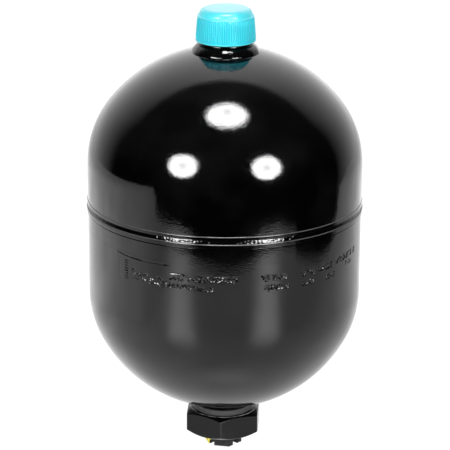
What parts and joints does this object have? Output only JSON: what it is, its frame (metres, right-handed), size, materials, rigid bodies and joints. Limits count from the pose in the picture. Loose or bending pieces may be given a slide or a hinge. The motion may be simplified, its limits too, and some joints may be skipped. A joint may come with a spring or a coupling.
{
  "type": "diaphragm accumulator",
  "caption": "Welded steel pressure vessel with a rubber diaphragm inside, a hexagon fluid port below and a capped gas charging boss on top.",
  "frame": {"origin": "centre of the fluid port's end face, on the vessel's axis", "axes": "+Z along the vessel's axis from the fluid port up to the gas connection; -Y is the front, which a corner of the port hexagon faces"},
  "size_m": [0.1756, 0.1756, 0.2898],
  "materials": {
    "shell_paint": "gloss black with a fine orange peel",
    "weld_paint": "gloss black over weld ripples",
    "hexagon_paint": "satin black",
    "bare_steel": "turned, phosphated",
    "cap_plastic": "semi-gloss turquoise",
    "plug_plastic": "yellow plastic under black overspray, one face bare",
    "diaphragm_rubber": "moulded nitrile rubber",
    "button_plastic": "moulded polyamide",
    "seal_copper": "annealed copper"
  },
  "bodies": {
    "vessel": {"upper_shell": "shell_paint", "lower_shell": "shell_paint", "shell_weld": "weld_paint", "clamp_ring": "bare_steel", "diaphragm": "diaphragm_rubber", "gas_boss": "weld_paint", "gas_boss_weld": "weld_paint", "charging_screw_seal": "seal_copper", "port_fitting": "hexagon_paint", "port_weld": "weld_paint"},
    "closing_button": {"closing_button": "button_plastic"},
    "charging_screw": {"charging_screw": "bare_steel"},
    "protective_cap": {"protective_cap": "cap_plastic"},
    "port_plug": {"port_plug": "plug_plastic"}
  },
  "joints": [
    {"name": "button_travel", "type": "slide", "parent": "vessel", "child": "closing_button", "axis": [0, 0, 1], "range_m": [0, 0.165], "stiffness_N_per_m": 15, "springref_m": -0.02, "deforming": ["diaphragm"]},
    {"name": "charging_screw_turn", "type": "hinge", "parent": "vessel", "child": "charging_screw", "pos_m": [0, 0, 0.2653], "axis": [0, 0, 1], "range_deg": [0, 360]},
    {"name": "cap_lift", "type": "slide", "parent": "vessel", "child": "protective_cap", "axis": [0, 0, 1], "range_m": [0, 0.03]},
    {"name": "plug_pull", "type": "slide", "parent": "vessel", "child": "port_plug", "axis": [0, 0, -1], "range_m": [0, 0.03]}
  ]
}
